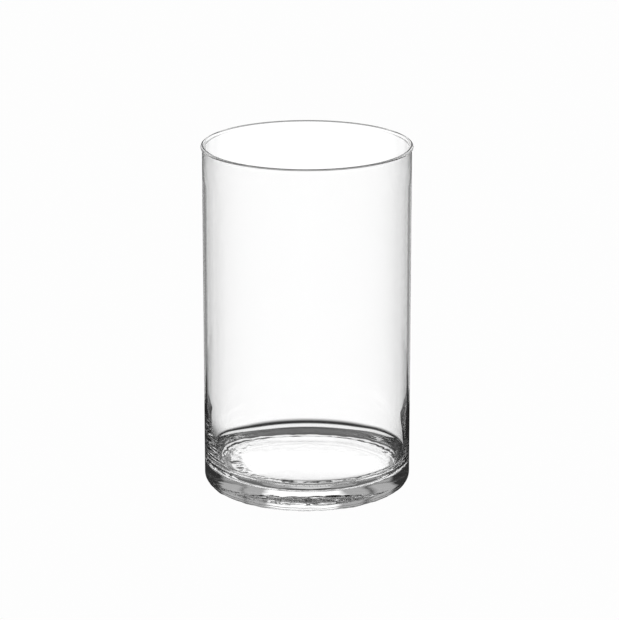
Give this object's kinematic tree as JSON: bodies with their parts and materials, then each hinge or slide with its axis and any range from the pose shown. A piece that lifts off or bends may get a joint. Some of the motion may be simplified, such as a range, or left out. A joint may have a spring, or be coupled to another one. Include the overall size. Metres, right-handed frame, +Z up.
{
  "type": "glass cylinder vase",
  "caption": "Tall clear glass cylinder vase, open at the top, with a fire-polished rim bead and a thick rounded base on a low foot ring.",
  "frame": {"origin": "centre of the foot, on the surface that the vase stands on", "axes": "+Z up along the vase's axis, out of its mouth; X and Y are level, and the vase is round about Z"},
  "size_m": [0.12, 0.12, 0.2],
  "materials": {
    "clear_glass": "clear, fire-polished"
  },
  "bodies": {
    "root": {"rim_bead": "clear_glass", "cylinder_wall": "clear_glass", "heel_ring": "clear_glass", "base_disc": "clear_glass"}
  },
  "joints": []
}
